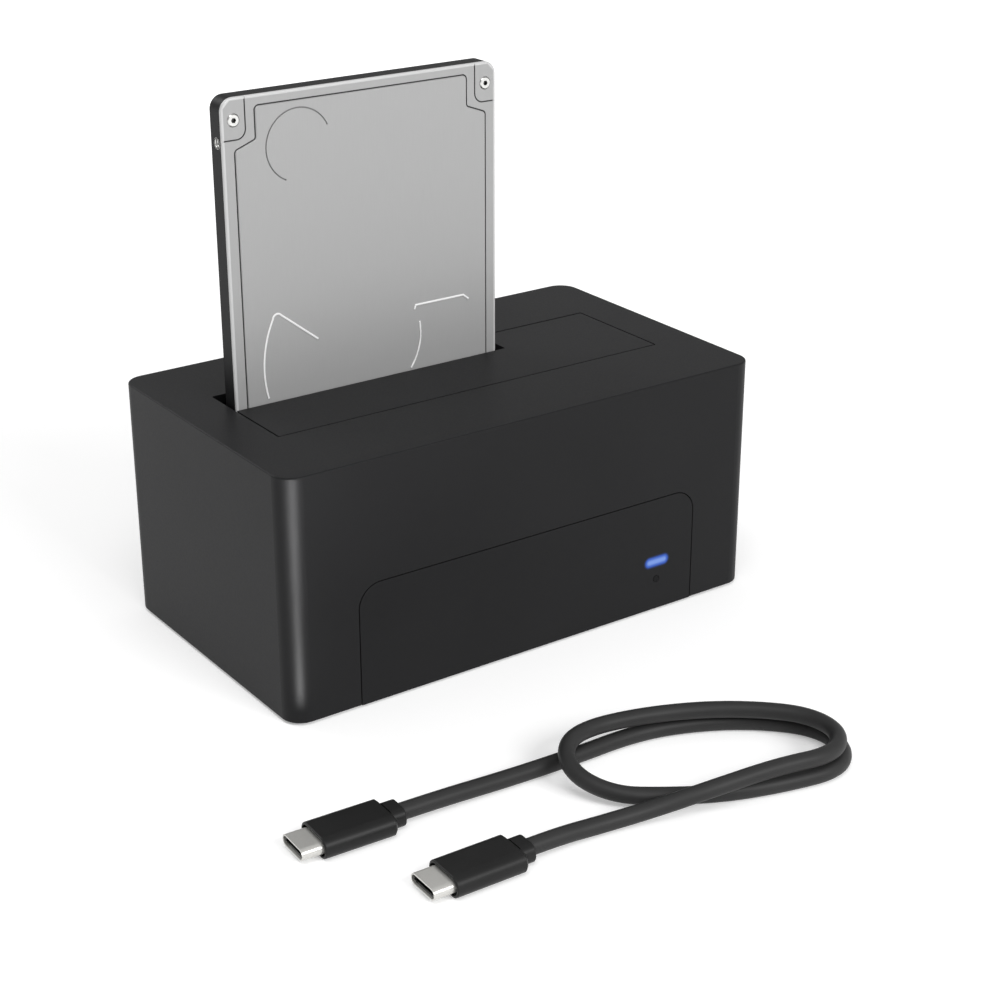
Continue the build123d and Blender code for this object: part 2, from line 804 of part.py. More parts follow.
def make_board_parts():
    """What stands on the main board: bridge chip, crystal, two coils, two capacitors, small chips."""
    first, second = rear_row(0), rear_row(1)
    top = board_top
    bridge = block(around(bridge_x, bridge_w), around(first, bridge_w), (top, top + bridge_t))
    bridge = chamfer(bridge.edges().group_by(Axis.Z)[-1], bridge_t / 4)
    can = RectangleRounded(crystal_w, crystal_d, crystal_d / 4)
    crystal = Pos(crystal_x, first, top) * extrude(can, crystal_t)
    coils = []
    cans = []
    for y in (first, second):
        coil = block(around(coil_x, coil_w), around(y, coil_w), (top, top + coil_h))
        coils.append(chamfer(coil.edges().filter_by(Axis.Z), coil_w / 6))
        can = post(can_x, y, top + can_base_t, top + can_h, can_r)
        can = chamfer(can.edges().group_by(Axis.Z)[-1], can_base_t / 2)
        cans.append(can + block(around(can_x, 2 * can_r), around(y, 2 * can_r), (top, top + can_base_t)))
    chips = []
    for row in (-1, 1):
        for step in range(chip_count):
            x = bridge_x + (step + 1 / 2 - chip_count / 2) * chip_pitch
            y = board_f + board_hole_in_y if row < 0 else second
            chips.append(Pos(x, y, top + chip_t / 2) * Box(chip_w, chip_d, chip_t))
    return bridge, crystal, Compound(coils), Compound(cans), Compound(chips)


def lid_place(x, down):
    """A place on the slim drive's lid, from its upper left corner, as a point of a front view."""
    return (slim_x + x, slim_top - down)


def lid_corners(x, down):
    """The same place at the lid's four corners."""
    return [lid_place(a, b) for a in (x, slim_w - x) for b in (down, slim_len - down)]


def step_outline():
    """The raised middle of the lid, drawn in at its four corners round the screw pads."""
    quarter = [(step_shoulder_x, step_top), (step_shoulder_x, step_shoulder_z),
               (step_side, step_shoulder_z + step_drop)]
    points = [lid_place(x, z) for x, z in quarter]
    points += [lid_place(x, slim_len - z) for x, z in reversed(quarter)]
    points += [lid_place(slim_w - x, slim_len - z) for x, z in quarter]
    points += [lid_place(slim_w - x, z) for x, z in reversed(quarter)]
    face = make_face(Polyline(*points, close=True))
    return fillet(face.vertices(), step_corner_r)


def bead_points(shares):
    """A bead's points on the lid."""
    return [lid_place(x * slim_w, down * slim_len) for x, down in shares]


def lid_beads():
    """The fine raised lines pressed in the lid's lower half."""
    a, b, c, d, e, f = bead_points(left_bead_share)
    lines = [[ThreePointArc(a, b, c), ThreePointArc(c, d, e), Line(e, f)]]
    lines.append([ThreePointArc(*bead_points(right_bead_share))])
    a, b, c, d = bead_points(upper_bead_share)
    lines.append([Line(a, b), Line(b, c), Line(c, d)])
    return [trace(line, bead_w) for line in lines]


def pad_grooves():
    """The grooves that part the four screw pads from the rest of the lid."""
    grooves = []
    for x_sign, x0 in ((1, slim_x), (-1, slim_x + slim_w)):
        for z_sign, z0 in ((-1, slim_top), (1, slim_z)):
            path = FilletPolyline(
                (x0 + x_sign * screw_pad_w, z0 - z_sign * cut_over),
                (x0 + x_sign * screw_pad_w, z0 + z_sign * screw_pad_h),
                (x0 - x_sign * cut_over, z0 + z_sign * screw_pad_h),
                radius=pad_corner_r,
            )
            grooves.append(trace(path, groove_w))
    return grooves


def make_drive_lid():
    """The pressed steel lid of the slim drive, with its raised middle, pads, groove and beads."""
    low = slim_face + lid_step
    sheet = Pos(slim_mid, slim_z + slim_len / 2) * RectangleRounded(slim_w, slim_len, slim_corner_r)
    lid = facing(sheet, low, slim_face + lid_t)
    lid = fillet(lid.faces().sort_by(Axis.Y)[0].edges(), lid_edge_r)
    middle = step_outline()
    raised = facing(middle, slim_face, low)
    lid += chamfer(raised.faces().sort_by(Axis.Y)[0].edges(), lid_step * 3 / 4)
    for groove in [*pad_grooves(), offset(middle, groove_w) - middle]:
        lid -= facing(groove, low - cut_over, low + groove_t)
    arc = CenterArc(lid_place(disc_x, disc_z), disc_r, disc_start_deg, disc_sweep_deg)
    lid -= facing(trace(arc, groove_w), slim_face - cut_over, slim_face + groove_t)
    for bead in lid_beads():
        ridge = facing(bead, slim_face - bead_h, slim_face)
        lid += fillet(ridge.faces().sort_by(Axis.Y)[0].edges(), bead_h * 9 / 10)
    for x, z in lid_corners(lid_screw_in_x, lid_screw_in_z):
        lid -= rod_y(x, z, slim_face - cut_over, slim_face + lid_t + cut_over, lid_screw_r + screw_gap)
    return lid


def make_lid_screws():
    """The flat screws in the lid's corners, each with a star-shaped socket drawn as a hexagon."""
    screws = []
    seat = slim_face + lid_t
    for x, z in lid_corners(lid_screw_in_x, lid_screw_in_z):
        head = rod_y(x, z, slim_face, seat, lid_screw_r)
        head = chamfer(head.edges().group_by(Axis.Y)[0], lid_step)
        socket = Pos(x, z) * RegularPolygon(torx_r, 6)
        head -= facing(socket, slim_face - cut_over, slim_face + lid_screw_t)
        screws.append(head + rod_y(x, z, seat, seat + 2 * lid_screw_r, small_screw_r))
    return Compound(screws)


def make_drive_case():
    """The cast case of the slim drive: a full-width rim, a narrower back, its pockets and side holes."""
    seat = slim_face + lid_t
    band = slim_face + case_band
    rim = Pos(slim_mid, slim_z + slim_len / 2) * RectangleRounded(slim_w, slim_len, slim_corner_r)
    case = facing(rim, seat, band)
    tall = slim_len - case_inset
    pan = Pos(slim_mid, slim_z + tall / 2) * RectangleRounded(slim_w - 2 * case_inset, tall, slim_corner_r)
    back = facing(pan, band, slim_back)
    case += chamfer(back.faces().sort_by(Axis.Y)[-1].edges(), lid_edge_r)
    plug_x = around(socket_x, plug_w + 2 * screw_gap)
    case -= block(plug_x, around(socket_y, plug_t + 2 * screw_gap), (slim_z - cut_over, plug_z))
    board_x = around(slim_mid, slim_w - 2 * case_inset - 2 * drive_board_in + 2 * screw_gap)
    case -= block(board_x, (slim_back - drive_board_t, slim_back + cut_over),
                  (slim_z - cut_over, drive_board_top + screw_gap))
    case -= rod_y(slim_mid, hub_z, slim_back - hub_t, slim_back + cut_over, hub_r + fit_gap)
    for x, z in lid_corners(lid_screw_in_x, lid_screw_in_z):
        case -= rod_y(x, z, seat - cut_over, seat + 2 * lid_screw_r, small_screw_r + screw_gap)
    for up in (screw_row_low, screw_row_high):
        z = slim_z + up
        for low, high in ((-cut_over, side_hole_len), (slim_w - side_hole_len, slim_w + cut_over)):
            case -= rod_x(slim_face + side_hole_back, z, slim_x + low, slim_x + high, side_hole_r)
        for x in (slim_x + back_hole_in, slim_x + slim_w - back_hole_in):
            case -= rod_y(x, z, slim_back - back_hole_len, slim_back + cut_over, back_hole_r)
    return case


def make_drive_back():
    """The slim drive's own board in its pocket, and the round hub of its motor."""
    width = slim_w - 2 * case_inset - 2 * drive_board_in
    board = block(around(slim_mid, width), (slim_back - drive_board_t, slim_back), (slim_z, drive_board_top))
    hub = rod_y(slim_mid, hub_z, slim_back - hub_t, slim_back, hub_r)
    inner, outer = [share * hub_r for share in hub_ring_share]
    ring = rod_y(slim_mid, hub_z, slim_back - hub_t / 2, slim_back + cut_over, outer)
    ring -= rod_y(slim_mid, hub_z, slim_back - hub_t, slim_back + cut_over, inner)
    return board, hub - ring


def make_drive_plug():
    """The slim drive's connector: a shroud open below, with its two flat tongues and their contacts."""
    body = block(around(socket_x, plug_w), around(socket_y, plug_t), (slim_z, plug_z))
    mouth_w = socket_nose_w + 2 * plug_mouth_gap
    mouth_t = socket_nose_t + 2 * plug_mouth_gap
    roof = slim_z + plug_mouth_len
    body -= block(around(socket_x, mouth_w), around(socket_y, mouth_t), (slim_z - cut_over, roof))
    contacts = []
    face = socket_y + tongue_t / 2
    low = roof - tongue_len
    for (left, right), count in zip(tongue_places(), (signal_contacts, power_contacts)):
        body += block((left, right), around(socket_y, tongue_t), (low, roof))
        for step in range(count):
            x = (left + right) / 2 + (step - (count - 1) / 2) * contact_pitch
            depth = (face, face + contact_t / 2)
            contacts.append(block(around(x, contact_w), depth, (low + contact_w, roof)))
    return body, Compound(contacts)


def route_radii(points):
    """The arc at each corner of a route, as large as the two runs beside it allow."""
    radii = []
    for before, here, after in zip(points, points[1:], points[2:]):
        first = Vector(*here) - Vector(*before)
        second = Vector(*after) - Vector(*here)
        turn = radians(first.get_angle(second))
        radii.append(arc_share * min(first.length, second.length) / tan(turn / 2))
    return radii


def make_cable():
    """The round lead, along its route from one plug to the other."""
    radii = route_radii(cable_route)
    line = FilletPolyline(*cable_route, radius=radii)
    ring = Plane(origin=line @ 0, z_dir=line % 0) * Circle(cable_d / 2)
    lead = sweep(ring, path=line)
    report_cable(line, lead, radii)
    return lead


def report_cable(line, lead, radii):
    """Print the lead's length, its arcs, its volume beside section times length, and its gap to itself."""
    length = line.length
    places = [line @ (step / 400) for step in range(401)]
    span = length / 400
    apart = int(4 * cable_d / span)
    gap = min(dist(tuple(a), tuple(b)) for i, a in enumerate(places) for b in places[i + apart:]) - cable_d
    print("cable length", round(length, 1), "least gap to itself", round(gap, 2))
    print("cable arcs", [round(radius, 1) for radius in radii])
    print("cable volume", round(lead.volume, 1), "of", round(pi * cable_d**2 / 4 * length, 1))


def make_plug(end, after):
    """A plug at one end of the cable: its grip with a neck, its steel mouth and the liner inside."""
    away = Vector(*end) - Vector(*after)
    spot = Location(Plane(origin=end, x_dir=away, z_dir=(0, 0, 1)))
    face = neck_len + grip_len
    grip = profile(RectangleRounded(grip_w, grip_h, grip_r), neck_len, face)
    grip = chamfer(grip.faces().sort_by(Axis.X)[0].edges(), face_recess)
    grip = fillet(grip.faces().sort_by(Axis.X)[-1].edges(), grip_end_r)
    neck = profile(RectangleRounded(neck_w, neck_h, neck_r), 0, neck_len)
    grip += fillet(neck.faces().sort_by(Axis.X)[0].edges(), grip_end_r)
    floor = face - mouth_len
    grip -= profile(oblong(grip_w - tip_w - 2 * mouth_wall), floor, face + cut_over)
    back = floor - tip_sunk
    grip -= profile(oblong(2 * screw_gap), back, face + cut_over)
    tip = profile(oblong(0), back, face + tip_len)
    tip -= profile(oblong(-2 * tip_wall), back - cut_over, face + tip_len + cut_over)
    core = profile(oblong(-2 * tip_wall - 2 * screw_gap), back, face + tip_len - face_recess)
    slot = Rectangle(tip_w - 2 * tip_wall - core_slot, core_slot)
    core -= profile(slot, floor, face + tip_len + cut_over)
    return spot * grip, spot * tip, spot * core


def oblong(grow):
    """The section of a plug's mouth, wider and higher by the same amount."""
    width, height = tip_w + grow, tip_h + grow
    return RectangleRounded(width, height, height / 2 - rounding)


def make_all():
    """Every piece under its own name."""
    parts = {
        "upper_shell": make_upper_shell(),
        "front_panel": make_front_panel(),
        "base_plate": make_base_plate(),
        "rubber_feet": make_feet(),
        "drive_bay": make_drive_bay(),
        "hinge_pin": make_hinge_pin(),
        "drive_flap": make_drive_flap(),
        "flap_springs": make_flap_springs(),
        "main_board": make_main_board(),
        "power_button": make_power_button(),
        "power_switch": make_power_switch(),
        "drive_case": make_drive_case(),
        "drive_lid": make_drive_lid(),
        "lid_screws": make_lid_screws(),
        "cable_lead": make_cable(),
        "board_header": make_header(),
    }
    parts["base_screws"], parts["bay_screws"], parts["board_screws"] = make_screws()
    parts["status_light"], parts["activity_light"], parts["light_chips"] = make_lights()
    parts["light_board"], parts["light_board_screws"] = make_led_board()
    parts["drive_socket"], parts["socket_contacts"] = make_drive_socket()
    parts["usb_socket"], parts["usb_socket_tongue"] = make_usb_port()
    parts["power_jack"], parts["power_jack_pin"] = make_power_jack()
    bridge, crystal, coils, cans, chips = make_board_parts()
    parts["bridge_chip"] = bridge
    parts["clock_crystal"] = crystal
    parts["power_coils"] = coils
    parts["capacitors"] = cans
    parts["small_chips"] = chips
    parts["drive_board"], parts["motor_hub"] = make_drive_back()
    parts["drive_plug"], parts["plug_contacts"] = make_drive_plug()
    ends = {"far": cable_route[:2], "near": cable_route[:-3:-1]}
    for name, (end, after) in ends.items():
        grip, tip, core = make_plug(end, after)
        parts[name + "_plug_grip"] = grip
        parts[name + "_plug_tip"] = tip
        parts[name + "_plug_liner"] = core
    return parts


os.makedirs("parts", exist_ok=True)
for name, shape in make_all().items():
    export_step(shape, f"parts/{name}.step")
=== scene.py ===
# %% [markdown]
# # A desk dock with a slim drive in it
# A dock for bare hard drives is a hollow moulded box with one long opening in its roof. A sprung flap
# closes the wide part, and a slim drive stands in the narrow part behind it. The pieces come from the
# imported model, at their real size, so this lesson gives them their finish, lays the round lead along
# its route, and sets the light and the camera of a studio photograph.

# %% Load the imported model
from math import cos, pi, radians, sin

import bpy
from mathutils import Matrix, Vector


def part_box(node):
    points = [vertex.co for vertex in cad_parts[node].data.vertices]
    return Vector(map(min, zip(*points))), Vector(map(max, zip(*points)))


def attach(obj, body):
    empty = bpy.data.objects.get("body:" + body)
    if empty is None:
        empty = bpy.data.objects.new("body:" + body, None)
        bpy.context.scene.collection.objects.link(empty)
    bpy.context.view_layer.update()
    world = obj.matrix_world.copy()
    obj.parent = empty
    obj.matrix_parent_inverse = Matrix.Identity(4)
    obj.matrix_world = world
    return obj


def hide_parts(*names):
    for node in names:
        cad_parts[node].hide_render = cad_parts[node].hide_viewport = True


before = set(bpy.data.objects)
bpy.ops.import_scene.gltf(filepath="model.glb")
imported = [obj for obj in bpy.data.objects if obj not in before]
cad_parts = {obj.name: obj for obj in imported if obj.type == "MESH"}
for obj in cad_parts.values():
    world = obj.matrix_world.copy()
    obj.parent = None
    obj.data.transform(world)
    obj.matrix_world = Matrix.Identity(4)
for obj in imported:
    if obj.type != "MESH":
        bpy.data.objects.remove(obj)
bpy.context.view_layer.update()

MM = 0.001

# %% [markdown]
# ## The camera
# A product photograph is taken from some way off with a long lens, so that upright edges stay nearly
# upright. The angle, the distance and the focal length were fitted to the corners of the housing and
# of the drive, whose width is a standard size. They are kept here as real sizes.

# %% Camera
SENSOR = 36.0
FOCAL_SHARE = 2.0524  # focal length, as a share of the picture's width
AZIMUTH = radians(-35.32)
ELEVATION = radians(23.48)
DISTANCE = 467.96 * MM
TARGET = Vector((0, -23.42 * MM, 32.87 * MM))

away = Vector((sin(AZIMUTH) * cos(ELEVATION), -cos(AZIMUTH) * cos(ELEVATION), sin(ELEVATION)))
camera = bpy.data.objects.new("camera", bpy.data.cameras.new("camera"))
camera.data.sensor_width = SENSOR
camera.data.lens = FOCAL_SHARE * SENSOR
camera.data.clip_start = 10 * MM
camera.data.clip_end = 20
camera.location = TARGET + away * DISTANCE
camera.rotation_mode = "QUATERNION"
camera.rotation_quaternion = (-away).to_track_quat("-Z", "Y")
bpy.context.collection.objects.link(camera)
bpy.context.scene.camera = camera
print("camera at", [round(x / MM) for x in camera.location], "mm")

# %% [markdown]
# ## Colours and nodes
# Colours are written as the six digits that a paint chart or a screen shows, and one function turns
# them into the linear numbers that a renderer adds up. A second small function adds one shader node
# with its settings, and fills or links its sockets. Every finish below is made with these two.


# %% Colour and node helpers
def linear(code):
    """A linear colour from six sRGB digits."""
    parts = [int(code[i:i + 2], 16) / 255 for i in (0, 2, 4)]
    return [c / 12.92 if c <= 0.04045 else ((c + 0.055) / 1.055) ** 2.4 for c in parts] + [1.0]


def add(tree, kind, settings=None, sockets=None):
    """One node of a kind, with its settings, and its sockets filled with values or linked to outputs."""
    made = tree.nodes.new("ShaderNode" + kind)
    for name, value in (settings or {}).items():
        setattr(made, name, value)
    for name, value in (sockets or {}).items():
        if isinstance(value, bpy.types.NodeSocket):
            tree.links.new(value, made.inputs[name])
        else:
            made.inputs[name].default_value = value
    return made


def per_metre(size_mm):
    """A pattern's scale, from the real size of one of its cells."""
    return 1 / (size_mm * MM)


def blank(name):
    """A new material with an empty tree, and the object's own coordinates in metres."""
    material = bpy.data.materials.new(name)
    material.use_nodes = True
    material.node_tree.nodes.clear()
    place = add(material.node_tree, "TexCoord").outputs["Object"]
    return material, material.node_tree, place


def finish_material(tree, shader):
    """Joins the last shader to the material's output."""
    add(tree, "OutputMaterial", sockets={"Surface": shader})


def spread(tree, value, low, high):
    """A pattern's value from 0 to 1, turned to a range."""
    return add(tree, "MapRange", sockets={"Value": value, "To Min": low, "To Max": high}).outputs["Result"]


def blend_colours(tree, factor, first, second):
    """A colour between two, by a pattern. Sockets 6 and 7 are this node's pair of colours."""
    mixed = add(tree, "Mix", {"data_type": "RGBA"}, {0: factor, 6: first, 7: second})
    return mixed.outputs[2]


print("sample", [round(c, 4) for c in linear("39393a")])

# %% [markdown]
# ## The white studio
# The photograph has a pure white ground. A wide sheet of white paper that curves up at its edge does
# that. It could be lit until it burned out, but then the dock would be too bright as well. Instead the
# sheet adds a little glow that only the eye, mirrors and glass see, because a shader can ask what kind
# of ray looks at it. The glow grows with distance, as the lamps' own light fades. The room round it is
# a plain grey light.


# %% Room and floor
GROUND = linear("ffffff")
ROOM_LIGHT = 0.42  # how bright the room's walls are
NEAR_GLOW, FAR_GLOW = 0.3, 0.8  # what the sheet adds for the eye, mirrors and glass, to read as white
NEAR, FAR = 0.15, 0.9  # metres from the dock: where the glow starts to grow, and where the lamps have faded

room = bpy.data.worlds.new("white_room")
bpy.context.scene.world = room
room.use_nodes = True
room.node_tree.nodes.clear()
glow = add(room.node_tree, "Background", sockets={"Color": GROUND, "Strength": ROOM_LIGHT})
add(room.node_tree, "OutputWorld", sockets={"Surface": glow.outputs[0]})


def white_paper():
    """Matt white paper, a little brighter to the eye than the light on it."""
    material, tree, place = blank("white_paper")
    fibre = add(tree, "TexNoise", sockets={"Vector": place, "Scale": per_metre(1.5), "Detail": 3.0})
    tone = blend_colours(tree, fibre.outputs["Fac"], linear("e9e9e9"), linear("ededed"))
    matt = add(tree, "BsdfPrincipled", sockets={
        "Base Color": tone, "Roughness": 0.9, "Specular IOR Level": 0.0})
    ray = add(tree, "LightPath").outputs
    seen = add(tree, "Math", {"operation": "MAXIMUM"}, {
        0: ray["Is Camera Ray"], 1: ray["Is Transmission Ray"]}).outputs[0]
    seen = add(tree, "Math", {"operation": "MAXIMUM"}, {0: seen, 1: ray["Is Glossy Ray"]}).outputs[0]
    off = add(tree, "VectorMath", {"operation": "LENGTH"}, {0: place}).outputs["Value"]
    fade = add(tree, "MapRange", sockets={
        "Value": off, "From Min": NEAR, "From Max": FAR,
        "To Min": NEAR_GLOW, "To Max": FAR_GLOW}).outputs["Result"]
    amount = add(tree, "Math", {"operation": "MULTIPLY"}, {0: seen, 1: fade}).outputs[0]
    lift = add(tree, "Emission", sockets={"Color": GROUND, "Strength": amount})
    both = add(tree, "AddShader", sockets={0: matt.outputs[0], 1: lift.outputs[0]})
    finish_material(tree, both.outputs[0])
    return material


# Radius and height of the sheet's rings, in metres: flat, then curving up.
SHEET_PROFILE = [(2.8, 0.0), (3.1, 0.02), (3.35, 0.09), (3.5, 0.2), (3.58, 0.35), (3.6, 0.5)]
SHEET_SIDES = 96

corners = [(0.0, 0.0, 0.0)]
for radius, height in SHEET_PROFILE:
    for side in range(SHEET_SIDES):
        turn = 2 * pi * side / SHEET_SIDES
        corners.append((radius * cos(turn), radius * sin(turn), height))
faces = [(0, 1 + side, 1 + (side + 1) % SHEET_SIDES) for side in range(SHEET_SIDES)]
for ring in range(len(SHEET_PROFILE) - 1):
    inner, outer = 1 + ring * SHEET_SIDES, 1 + (ring + 1) * SHEET_SIDES
    for side in range(SHEET_SIDES):
        following = (side + 1) % SHEET_SIDES
        faces.append((inner + side, outer + side, outer + following, inner + following))
sheet_mesh = bpy.data.meshes.new("floor")
sheet_mesh.from_pydata(corners, [], faces)
floor = bpy.data.objects.new("floor", sheet_mesh)
floor.data.materials.append(white_paper())
bpy.context.collection.objects.link(floor)
print("sheet", len(faces), "faces,", 2 * SHEET_PROFILE[-1][0], "m across")

# %% [markdown]
# ## The lamps
# Black plastic shows hardly any of its own colour. What the eye reads on it is what it reflects. A
# soft key hangs high in front and to the left, a wider one lights the front, and one behind keeps the
# back readable. The bright line down the rounded corner is a reflection too. A wall seen from above
# mirrors the floor, so three bright cards lie there, along the line that the corner mirrors, wider the
# further off they are. A lamp can be told which pieces it lights, and these show in the housing's
# reflections only. A narrow spread keeps them from glaring in a wall that is seen from low down.


# %% Lamps
def soft_lamp(name, azimuth, elevation, distance, size, watts):
    """A soft box of a width and height in metres, that looks at the dock from an angle round it."""
    a, e = radians(azimuth), radians(elevation)
    lamp = bpy.data.lights.new(name, "AREA")
    lamp.energy = watts
    lamp.shape = "RECTANGLE"
    lamp.size, lamp.size_y = size
    holder = bpy.data.objects.new(name, lamp)
    way = Vector((sin(a) * cos(e), -cos(a) * cos(e), sin(e)))
    holder.location = TARGET + way * distance
    holder.rotation_mode = "QUATERNION"
    holder.rotation_quaternion = way.to_track_quat("Z", "Y")
    bpy.context.collection.objects.link(holder)
    return holder


# Degrees round the dock, degrees up, metres away, width and height in metres, watts.
lamps = [
    soft_lamp("key", -35, 60, 1.1, (0.5, 0.5), 3.5),
    soft_lamp("front", 10, 30, 1.2, (0.6, 0.4), 8.5),
    soft_lamp("back", 200, 35, 1.2, (0.6, 0.4), 4.0),
]

CARD_TURN = -28  # the way from the corner to the cards, in degrees round the dock
CARD_GLOW = 140.0  # watts for each square metre of card
CARD_SPREAD = radians(152)  # nothing goes out lower than 14 degrees above the floor
CORNER = Vector((-62, -36, 0)) * MM
CARDS = [(21, 8, 26), (55, 26, 40), (125, 80, 100)]  # how far from the corner, how wide, how long, in mm

housing_faces = bpy.data.collections.new("lit_by_the_cards")
for name in ("upper_shell", "front_panel", "base_plate"):
    housing_faces.objects.link(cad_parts[name])
out = Vector((sin(radians(CARD_TURN)), -cos(radians(CARD_TURN)), 0))
for off, wide, long in CARDS:
    size = (wide * MM, long * MM)
    card = soft_lamp("card", CARD_TURN, 0, 1.0, size, CARD_GLOW * size[0] * size[1])
    card.location = CORNER + out * off * MM + Vector((0, 0, MM))
    card.rotation_mode = "XYZ"
    card.rotation_euler = (pi, 0, radians(CARD_TURN))
    card.data.spread = CARD_SPREAD
    card.visible_camera = False
    card.visible_diffuse = False
    card.light_linking.receiver_collection = housing_faces
    lamps.append(card)
print("lamps", [lamp.name for lamp in lamps])

# %% [markdown]
# ## Moulded black ABS
# The housing, its flap and the front panel are ABS, moulded in a tool whose faces were etched to a
# fine even grain. The grain breaks reflections up, so the plastic looks matt and a lamp becomes a wide
# soft patch, a little greyer than the plastic itself. The grain is about a third of a millimetre.

# %% Etched ABS
ABS_IOR = 1.54
ABS_SHINE = 0.1  # the grain scatters most of what smooth plastic would mirror


def etched_abs(name, dark, light, grain_mm=0.35, roughness=0.44):
    """Moulded black plastic with an etched grain, faint cloudiness and slightly uneven gloss."""
    material, tree, place = blank(name)
    cloud = add(tree, "TexNoise", sockets={"Vector": place, "Scale": per_metre(22), "Detail": 3.0})
    grain = add(tree, "TexNoise", sockets={"Vector": place, "Scale": per_metre(grain_mm), "Detail": 2.0})
    colour = blend_colours(tree, cloud.outputs["Fac"], linear(dark), linear(light))
    gloss = spread(tree, grain.outputs["Fac"], roughness - 0.05, roughness + 0.07)
    relief = add(tree, "Bump", sockets={
        "Height": grain.outputs["Fac"], "Strength": 0.25, "Distance": 0.03 * MM})
    shader = add(tree, "BsdfPrincipled", sockets={
        "Base Color": colour, "Roughness": gloss, "IOR": ABS_IOR, "Specular IOR Level": ABS_SHINE,
        "Normal": relief.outputs["Normal"]})
    finish_material(tree, shader.outputs[0])
    return material


# Outside, the grain makes black look like soft charcoal. Inside, the tool was left plain: darker, smoother.
housing_abs = etched_abs("etched_black_abs", "1c1c1d", "202021")
inner_abs = etched_abs("plain_black_abs", "131314", "171718", grain_mm=0.8, roughness=0.38)
print("plastics", housing_abs.name, inner_abs.name)

# %% [markdown]
# ## The front panel and the light that leaks into it
# The panel is the same etched ABS. Round the lit lens a little blue light gets into the plastic, as it
# does on any indicator in a black wall, and fades within a millimetre or so. It is drawn by the distance
# from the lens's middle line, so it stays on the panel from every side.

# %% Panel with its blue halo
lens_low, lens_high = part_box("status_light")
LENS_MIDDLE = (Vector(lens_low) + Vector(lens_high)) / 2
LENS_HALF_LINE = (lens_high[0] - lens_low[0] - (lens_high[2] - lens_low[2])) / 2
LENS_RADIUS = (lens_high[2] - lens_low[2]) / 2
HALO_REACH = 1.2 * MM
HALO_FALL = 2.5  # how much faster than evenly the halo fades


def lens_distance(tree, place):
    """How far a point lies from the lens's middle line, seen from the front, in metres."""
    shifted = add(tree, "VectorMath", {"operation": "SUBTRACT"}, {0: place, 1: LENS_MIDDLE}).outputs[0]
    axes = add(tree, "SeparateXYZ", sockets={0: shifted})
    across = add(tree, "Math", {"operation": "ABSOLUTE"}, {0: axes.outputs["X"]}).outputs[0]
    beyond = add(tree, "Math", {"operation": "SUBTRACT"}, {0: across, 1: LENS_HALF_LINE}).outputs[0]
    beyond = add(tree, "Math", {"operation": "MAXIMUM"}, {0: beyond, 1: 0.0}).outputs[0]
    flat = add(tree, "CombineXYZ", sockets={"X": beyond, "Y": axes.outputs["Z"]}).outputs[0]
    return add(tree, "VectorMath", {"operation": "LENGTH"}, {0: flat}).outputs["Value"]


def panel_abs(name):
    """Etched ABS with a blue halo round the lens."""
    material = etched_abs(name, "1a1a1b", "1e1e1f")
    tree = material.node_tree
    shader = tree.nodes["Principled BSDF"]
    place = add(tree, "TexCoord").outputs["Object"]
    reach = add(tree, "MapRange", {"interpolation_type": "SMOOTHSTEP"}, {
        "Value": lens_distance(tree, place), "From Min": LENS_RADIUS, "From Max": LENS_RADIUS + HALO_REACH,
        "To Min": 1.0, "To Max": 0.0}).outputs["Result"]
    fade = add(tree, "Math", {"operation": "POWER"}, {0: reach, 1: HALO_FALL}).outputs[0]
    halo = add(tree, "Emission", sockets={"Color": linear("3561c8"), "Strength": fade})
    both = add(tree, "AddShader", sockets={0: shader.outputs[0], 1: halo.outputs[0]})
    tree.links.new(both.outputs[0], tree.nodes["Material Output"].inputs["Surface"])
    return material


panel_plastic = panel_abs("etched_black_abs_panel")
print("lens", round(LENS_HALF_LINE / MM, 2), "mm half line,", round(LENS_RADIUS / MM, 2), "mm radius")

# %% [markdown]
# ## Lit and unlit lenses
# A lens like this is clear polycarbonate that carries light from a chip behind it. Lit, it is bright in
# the middle and deeper blue at its rim, where the light runs out. The small round one below is unlit,
# so it is only a dark glossy dot.


# %% Lenses
LENS_IOR = 1.58  # polycarbonate
LENS_GLOW = 0.85  # just short of clipping, so that the blue keeps its colour


def lit_lens():
    """Clear plastic filled with blue light, paler along its middle."""
    material, tree, place = blank("lit_blue_polycarbonate")
    rim = add(tree, "MapRange", {"interpolation_type": "SMOOTHSTEP"}, {
        "Value": lens_distance(tree, place), "From Min": 0.2 * LENS_RADIUS, "From Max": LENS_RADIUS})
    glow = blend_colours(tree, rim.outputs["Result"], linear("7298e4"), linear("456cc4"))
    shader = add(tree, "BsdfPrincipled", sockets={
        "Base Color": linear("10204a"), "Roughness": 0.25, "IOR": LENS_IOR,
        "Emission Color": glow, "Emission Strength": LENS_GLOW})
    finish_material(tree, shader.outputs[0])
    return material


def smoked_lens():
    """The unlit light guide: dark, glossy, faintly streaked by the moulding flow."""
    material, tree, place = blank("unlit_polycarbonate")
    flow = add(tree, "TexNoise", sockets={"Vector": place, "Scale": per_metre(0.6)})
    colour = blend_colours(tree, flow.outputs["Fac"], linear("09090a"), linear("0e0e10"))
    gloss = spread(tree, flow.outputs["Fac"], 0.18, 0.28)
    shader = add(tree, "BsdfPrincipled", sockets={
        "Base Color": colour, "Roughness": gloss, "IOR": LENS_IOR, "Specular IOR Level": 0.1})
    finish_material(tree, shader.outputs[0])
    return material


blue_lens, dark_lens = lit_lens(), smoked_lens()
print("lenses", blue_lens.name, dark_lens.name)

# %% [markdown]
# ## Metals
# Steel, zinc, nickel and gold show what is round them. What tells them apart is their colour and how
# finely they were worked: a turned screw is even, a drawn can has streaks, plating is smooth. One
# function takes the size of the marks along each axis, so that the same noise gives all of these.


# %% Worked metal
UNEVEN_GLOSS = 0.04  # how far the roughness strays to each side of its middle
MARK_DEPTH = 0.01 * MM


